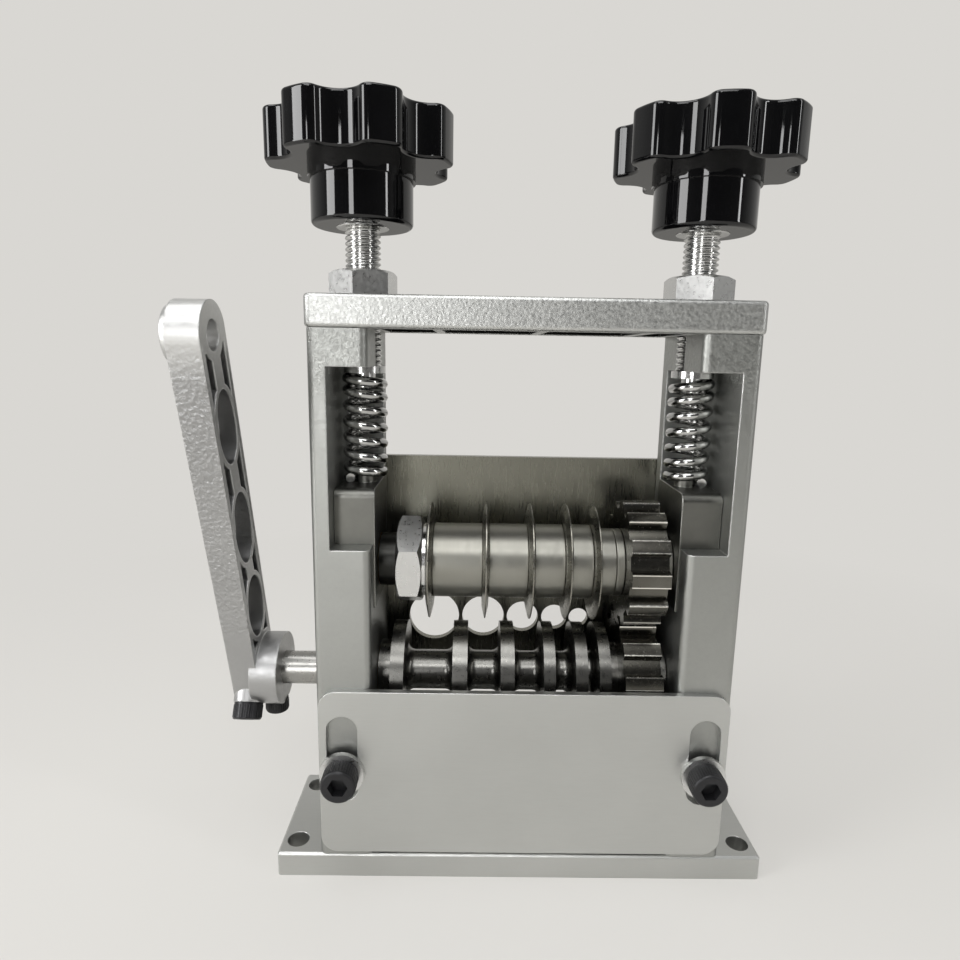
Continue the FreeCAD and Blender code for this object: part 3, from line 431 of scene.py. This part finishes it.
def smoothShade(mesh, angle=35.0):
    # smooth, apart from edges that turn by more than the angle
    mesh.shade_smooth()
    mesh.set_sharp_from_angle(angle=math.radians(angle))


# the wire's middle line starts at low; splitZ is where one span ends and the next begins
springs = {"axisX": 0.0477, "coilRadius": 0.00515, "wireRadius": 0.0014, "wireSides": 20,
           "low": 0.1194, "endPitch": 0.0033, "middlePitch": 0.00452, "turns": 7.0, "tail": 0.1,
           "splitZ": 0.130, "bottomZ": 0.118, "topZ": 0.150, "stepsPerTurn": 40}


def makeSpringRule(wireSides):
    # a line of points wound round an upright axis, closer at both ends, swept with the wire's circle
    tree, source, target = newRule("coilSpring", ["Side", "Axis X", "Coil Radius", "Wire Radius", "Low",
                                                  "End Pitch", "Middle Pitch", "Turns", "From Turn",
                                                  "To Turn", "Points"])
    given = source.outputs
    line = addNode(tree, "GeometryNodeMeshLine")
    index = addNode(tree, "GeometryNodeInputIndex")
    tree.links.new(given["Points"], line.inputs["Count"])
    span = calc(tree, "SUBTRACT", given["To Turn"], given["From Turn"])
    share = calc(tree, "DIVIDE", index.outputs[0], calc(tree, "SUBTRACT", given["Points"], 1.0))
    turn = calc(tree, "ADD", given["From Turn"], calc(tree, "MULTIPLY", share, span))
    angle = calc(tree, "MULTIPLY", turn, 2 * math.pi)
    # the first and the last turn rise by the end pitch, those between them by the middle pitch
    lastTurn = calc(tree, "SUBTRACT", given["Turns"], 1.0)
    first = calc(tree, "MINIMUM", calc(tree, "MAXIMUM", turn, 0.0), 1.0)
    between = calc(tree, "MINIMUM", calc(tree, "MAXIMUM", turn, 1.0), lastTurn)
    middle = calc(tree, "SUBTRACT", between, 1.0)
    capped = calc(tree, "MINIMUM", turn, given["Turns"])
    last = calc(tree, "SUBTRACT", calc(tree, "MAXIMUM", capped, lastTurn), lastTurn)
    ends = calc(tree, "MULTIPLY", calc(tree, "ADD", first, last), given["End Pitch"])
    rise = calc(tree, "ADD", ends, calc(tree, "MULTIPLY", middle, given["Middle Pitch"]))
    out = calc(tree, "MULTIPLY", given["Coil Radius"], calc(tree, "COSINE", angle))
    x = calc(tree, "ADD", given["Axis X"], out)
    y = calc(tree, "MULTIPLY", given["Coil Radius"], calc(tree, "SINE", angle))
    place = addNode(tree, "ShaderNodeCombineXYZ")
    tree.links.new(calc(tree, "MULTIPLY", x, given["Side"]), place.inputs["X"])
    tree.links.new(y, place.inputs["Y"])
    tree.links.new(calc(tree, "ADD", given["Low"], rise), place.inputs["Z"])
    move = addNode(tree, "GeometryNodeSetPosition")
    tree.links.new(line.outputs["Mesh"], move.inputs["Geometry"])
    tree.links.new(place.outputs["Vector"], move.inputs["Position"])
    curve = addNode(tree, "GeometryNodeMeshToCurve")
    tree.links.new(move.outputs["Geometry"], curve.inputs["Mesh"])
    wire = addNode(tree, "GeometryNodeCurvePrimitiveCircle")
    wire.inputs["Resolution"].default_value = wireSides
    tree.links.new(given["Wire Radius"], wire.inputs["Radius"])
    sweep = addNode(tree, "GeometryNodeCurveToMesh")
    sweep.inputs["Fill Caps"].default_value = True
    tree.links.new(curve.outputs["Curve"], sweep.inputs["Curve"])
    tree.links.new(wire.outputs["Curve"], sweep.inputs["Profile Curve"])
    finishRule(tree, source, target, sweep.outputs["Mesh"])
    return tree


def makeSprings(s):
    rule = makeSpringRule(s["wireSides"])
    # the turn at which the wire reaches splitZ
    split = 1.0 + (s["splitZ"] - s["low"] - s["endPitch"]) / s["middlePitch"]
    for side, label in ((-1, "left"), (1, "right")):
        top = s["turns"] + s["tail"]
        spans = (("Lower", -s["tail"], split, "carriage", "frame", s["bottomZ"], s["splitZ"]),
                 ("Upper", split, top, "frame", label + "_seat", s["splitZ"], s["topZ"]))
        for part, fromTurn, toTurn, below, above, z0, z1 in spans:
            points = round((toTurn - fromTurn) * s["stepsPerTurn"]) + 1
            values = {"Side": side, "Axis X": s["axisX"], "Coil Radius": s["coilRadius"],
                      "Wire Radius": s["wireRadius"], "Low": s["low"], "End Pitch": s["endPitch"],
                      "Middle Pitch": s["middlePitch"], "Turns": s["turns"],
                      "From Turn": fromTurn, "To Turn": toTurn, "Points": points}
            mesh = runRule(rule, values, "springSteel")
            smoothShade(mesh)
            piece = addPiece(label + "Spring" + part, mesh, "springSteel")
            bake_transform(piece)
            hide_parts(label + "_spring")


makeSprings(springs)
print("stage: springs wound")


pressureScrew = {"axisX": 0.0477, "bottom": 0.152, "top": 0.2025, "radius": 0.00498,
                 "depth": 0.00065, "pitch": 0.0015, "crestAndRoot": (0.12, 0.92), "sides": 64,
                 "rowsPerPitch": 8, "flangeInner": 0.00398, "flangeRadius": 0.0073,
                 "flangeBottom": 0.1897, "flangeTop": 0.1907, "flangeEdge": 0.0002}


def makeThreadRule(crestAndRoot):
    # a fine cylinder whose rows are drawn in along a helix, which leaves a rolled thread
    sockets = ["Radius", "Depth", "Pitch", "Length", "Sides", "Rows"]
    tree, source, target = newRule("rolledThread", sockets)
    tube = addNode(tree, "GeometryNodeMeshCylinder")
    for name, socket in (("Vertices", "Sides"), ("Side Segments", "Rows"), ("Radius", "Radius"),
                         ("Depth", "Length")):
        tree.links.new(source.outputs[socket], tube.inputs[name])
    where = addNode(tree, "GeometryNodeInputPosition")
    parts = addNode(tree, "ShaderNodeSeparateXYZ")
    tree.links.new(where.outputs[0], parts.inputs[0])
    angle = calc(tree, "ARCTAN2", parts.outputs["Y"], parts.outputs["X"])
    around = calc(tree, "DIVIDE", angle, 2 * math.pi)
    along = calc(tree, "DIVIDE", parts.outputs["Z"], source.outputs["Pitch"])
    phase = calc(tree, "FRACT", calc(tree, "SUBTRACT", along, around))
    valley = calc(tree, "MULTIPLY", calc(tree, "PINGPONG", phase, 0.5), 2.0)
    depth = addNode(tree, "ShaderNodeMapRange", interpolation_type="SMOOTHSTEP")
    depth.inputs["From Min"].default_value, depth.inputs["From Max"].default_value = crestAndRoot
    tree.links.new(valley, depth.inputs["Value"])
    cut = calc(tree, "MULTIPLY", depth.outputs["Result"], source.outputs["Depth"])
    scale = calc(tree, "SUBTRACT", 1.0, calc(tree, "DIVIDE", cut, source.outputs["Radius"]))
    place = addNode(tree, "ShaderNodeCombineXYZ")
    for axis in ("X", "Y"):
        tree.links.new(calc(tree, "MULTIPLY", parts.outputs[axis], scale), place.inputs[axis])
    tree.links.new(parts.outputs["Z"], place.inputs["Z"])
    move = addNode(tree, "GeometryNodeSetPosition")
    tree.links.new(tube.outputs["Mesh"], move.inputs["Geometry"])
    tree.links.new(place.outputs["Vector"], move.inputs["Position"])
    finishRule(tree, source, target, move.outputs["Geometry"])
    return tree


def turnedMesh(name, profile, steps, place):
    # a closed ring of (radius, height) points turned round an upright axis, then moved to its place
    mesh = bpy.data.meshes.new(name)
    count = len(profile)
    points = []
    for i in range(steps):
        angle = 2 * math.pi * i / steps
        points += [place @ Vector((r * math.cos(angle), r * math.sin(angle), z)) for r, z in profile]
    faces = []
    for i in range(steps):
        for j in range(count):
            a, b = i * count + j, i * count + (j + 1) % count
            c, d = (i + 1) % steps * count + (j + 1) % count, (i + 1) % steps * count + j
            faces.append((a, d, c, b))
    mesh.from_pydata(points, [], faces)
    mesh.update()
    return mesh


def makePressureScrews(s):
    rule = makeThreadRule(s["crestAndRoot"])
    length = s["top"] - s["bottom"]
    values = {"Radius": s["radius"], "Depth": s["depth"], "Pitch": s["pitch"], "Length": length,
              "Sides": s["sides"], "Rows": round(length / s["pitch"] * s["rowsPerPitch"])}
    for side, label in ((-1, "left"), (1, "right")):
        mesh = runRule(rule, values, "brightSteel")
        mesh.transform(Matrix.Translation((side * s["axisX"], 0, s["bottom"] + length / 2)))
        smoothShade(mesh, 60.0)
        stud = addPiece(label + "ThreadedStud", mesh, "brightSteel", label + "_screw")
        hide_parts(label + "_pressure_screw")
        r0, r1, edge = s["flangeInner"], s["flangeRadius"], s["flangeEdge"]
        z0, z1 = s["flangeBottom"], s["flangeTop"]
        ring = [(r0, z0), (r1 - edge, z0), (r1, z0 + edge), (r1, z1), (r0, z1)]
        axis = Matrix.Translation((side * s["axisX"], 0, 0))
        flange = turnedMesh(label + "StudFlange", ring, s["sides"], axis)
        smoothShade(flange)
        addPiece(label + "StudFlange", flange, "brightSteel", label + "_screw")


makePressureScrews(pressureScrew)
print("stage: pressure screws threaded")


# each cap screw's head: its radius and height, its seats' middles, and the way the head points;
# side seats are mirrored to the left and right frame
sideScrews = {
    "guard": {"seats": [(0.0524, -0.023, 0.036)], "way": (0, -1, 0), "head": (0.005, 0.006)},
    "top": {"seats": [(0.052, -0.013, 0.1655), (0.052, 0.013, 0.1655)], "way": (0, 0, 1),
            "head": (0.00425, 0.005)},
    "rear": {"seats": [(0.052, 0.022, 0.045), (0.052, 0.022, 0.110)], "way": (0, 1, 0),
             "head": (0.0035, 0.0024)},
}
# the crank's screws stand out from the shaft's axis, at an angle below the front horizontal
crankAxisZ = 0.058
crankScrews = {"arm": {"x": -0.084, "angle": 58.0, "reach": 0.0108, "head": (0.00425, 0.005)},
               "hub": {"x": -0.077, "angle": 90.0, "reach": 0.0104, "head": (0.0035, 0.004)}}
knurl = {"ridges": 44, "ridgesAtRadius": 0.005, "ridgeRadius": 0.00016, "ridgeSides": 6,
         "stand": 0.00004, "endGap": 0.0007, "smoothAngle": 70.0}


def capScrewHeads():
    # label, body, seat, way, radius and height of every head
    heads = []
    for side in (-1, 1):
        for label, screw in sideScrews.items():
            for x, y, z in screw["seats"]:
                seat = Vector((side * x, y, z))
                heads.append((label, "frame", seat, Vector(screw["way"]), *screw["head"]))
    for label, screw in crankScrews.items():
        angle = math.radians(screw["angle"])
        way = Vector((0, -math.cos(angle), -math.sin(angle)))
        seat = Vector((screw["x"], 0, crankAxisZ)) + way * screw["reach"]
        heads.append((label, "crank", seat, way, *screw["head"]))
    return heads


def makeKnurlRule(ridgeSides):
    # fine ridges standing round a screw's head
    tree, source, target = newRule("knurledRim", ["Radius", "Length", "Ridges", "Ridge Radius"])
    circle = addNode(tree, "GeometryNodeMeshCircle")
    tree.links.new(source.outputs["Ridges"], circle.inputs["Vertices"])
    tree.links.new(source.outputs["Radius"], circle.inputs["Radius"])
    ridge = addNode(tree, "GeometryNodeMeshCylinder")
    ridge.inputs["Vertices"].default_value = ridgeSides
    tree.links.new(source.outputs["Ridge Radius"], ridge.inputs["Radius"])
    tree.links.new(source.outputs["Length"], ridge.inputs["Depth"])
    copies = addNode(tree, "GeometryNodeInstanceOnPoints")
    tree.links.new(circle.outputs["Mesh"], copies.inputs["Points"])
    tree.links.new(ridge.outputs["Mesh"], copies.inputs["Instance"])
    finishRule(tree, source, target, copies.outputs["Instances"])
    return tree


def makeKnurls(k):
    rule = makeKnurlRule(k["ridgeSides"])
    groups = {}
    for label, body, seat, way, radius, height in capScrewHeads():
        length = height - 2 * k["endGap"]
        values = {"Radius": radius + k["stand"] - k["ridgeRadius"] / 2, "Length": length,
                  "Ridges": round(k["ridges"] * radius / k["ridgesAtRadius"]),
                  "Ridge Radius": k["ridgeRadius"]}
        mesh = runRule(rule, values, "blackOxide")
        turn = Vector((0, 0, 1)).rotation_difference(way).to_matrix().to_4x4()
        mesh.transform(Matrix.Translation(seat + way * height / 2) @ turn)
        groups.setdefault((label, body), []).append(mesh)
    for (label, body), meshes in groups.items():
        joined = bmesh.new()
        for mesh in meshes:
            joined.from_mesh(mesh)
        mesh = bpy.data.meshes.new(label + "ScrewKnurl")
        joined.to_mesh(mesh)
        joined.free()
        smoothShade(mesh, k["smoothAngle"])
        addPiece(label + "ScrewKnurl", mesh, "blackOxide", body)


makeKnurls(knurl)
print("stage: screw heads knurled")


# roomDepth: how bright the room is from behind the camera to behind the object
studio = {"backdrop": (0.694, 0.680, 0.651), "floorHalf": 3.0, "floorRough": 0.9,
          "fade": (0.16, 0.42), "glow": (0.55, 1.0),
          "roomDepth": [(0.0, (0.04, 0.04, 0.04)), (0.3, (0.11, 0.11, 0.11)),
                        (0.6, (0.42, 0.42, 0.41)), (1.0, (0.694, 0.680, 0.651))]}


def makeFloor(s):
    # a pale floor that glows towards the backdrop's colour away from the object, as the camera sees it
    half = s["floorHalf"]
    mesh = bpy.data.meshes.new("floor")
    corners = [(-half, -half, 0), (half, -half, 0), (half, half, 0), (-half, half, 0)]
    mesh.from_pydata(corners, [], [(0, 1, 2, 3)])
    floor = bpy.data.objects.new("floor", mesh)
    bpy.context.scene.collection.objects.link(floor)
    mat, tree, shader = newMaterial("paleFloor")
    shader.inputs["Base Color"].default_value = (*s["backdrop"], 1)
    shader.inputs["Roughness"].default_value = s["floorRough"]
    shader.inputs["Specular IOR Level"].default_value = 0.0
    glow = addNode(tree, "ShaderNodeEmission")
    glow.inputs["Color"].default_value = (*s["backdrop"], 1)
    mix = addNode(tree, "ShaderNodeMixShader")
    rays = addNode(tree, "ShaderNodeLightPath")
    coords = addNode(tree, "ShaderNodeTexCoord")
    length = addNode(tree, "ShaderNodeVectorMath", operation="LENGTH")
    tree.links.new(coords.outputs["Object"], length.inputs[0])
    fade = spread(tree, length.outputs["Value"], *s["glow"], *s["fade"])
    tree.links.new(calc(tree, "MULTIPLY", fade, rays.outputs["Is Camera Ray"]), mix.inputs["Fac"])
    tree.links.new(shader.outputs["BSDF"], mix.inputs[1])
    tree.links.new(glow.outputs["Emission"], mix.inputs[2])
    tree.links.new(mix.outputs["Shader"], tree.nodes["Material Output"].inputs["Surface"])
    paint(floor, mat)


def makeWorld(s):
    world = bpy.data.worlds.new("studio")
    bpy.context.scene.world = world
    world.use_nodes = True
    tree = world.node_tree
    back = tree.nodes["Background"]
    rays = addNode(tree, "ShaderNodeLightPath")
    coords = addNode(tree, "ShaderNodeTexCoord")
    parts = addNode(tree, "ShaderNodeSeparateXYZ")
    tree.links.new(coords.outputs["Generated"], parts.inputs["Vector"])
    # the room is darker behind the camera, which gives bright metal its dark reflections
    depth = ramp(tree, spread(tree, parts.outputs["Y"], 0.0, 1.0, -1.0, 1.0), s["roomDepth"])
    seen = mixColour(tree, rays.outputs["Is Camera Ray"], depth, s["backdrop"])
    tree.links.new(seen, back.inputs["Color"])
    back.inputs["Strength"].default_value = 1.0


lamps = {
    "overhead": {"place": (-0.15, -0.20, 1.0), "target": (0, 0, 0.1),
                 "size": (0.8, 0.5), "power": 4.5},
    "leftWindow": {"place": (-0.95, -0.45, 0.42), "target": (0, 0, 0.12),
                   "size": (0.36, 0.8), "power": 7.5},
    "frontTop": {"place": (-0.15, -0.85, 0.95), "target": (0, 0, 0.1),
                 "size": (0.8, 0.25), "power": 4.0},
    "frontLeft": {"place": (-0.36, -1.15, 0.28), "target": (0, 0, 0.12),
                  "size": (0.20, 0.55), "power": 3.0},
    "rightStrip": {"place": (0.85, -0.45, 0.5), "target": (0, 0, 0.12),
                   "size": (0.08, 0.8), "power": 2.0},
}


def areaLamp(name, lamp):
    data = bpy.data.lights.new(name, "AREA")
    data.shape = "RECTANGLE"
    data.size, data.size_y = lamp["size"]
    data.energy = lamp["power"]
    obj = bpy.data.objects.new(name, data)
    bpy.context.scene.collection.objects.link(obj)
    obj.location = lamp["place"]
    aim = Vector(lamp["target"]) - Vector(lamp["place"])
    obj.rotation_euler = aim.to_track_quat("-Z", "Y").to_euler()
    obj.visible_camera = False


makeFloor(studio)
makeWorld(studio)
for name, lamp in lamps.items():
    areaLamp(name, lamp)
print("stage: studio lit")

bpy.context.scene.view_settings.view_transform = "Standard"
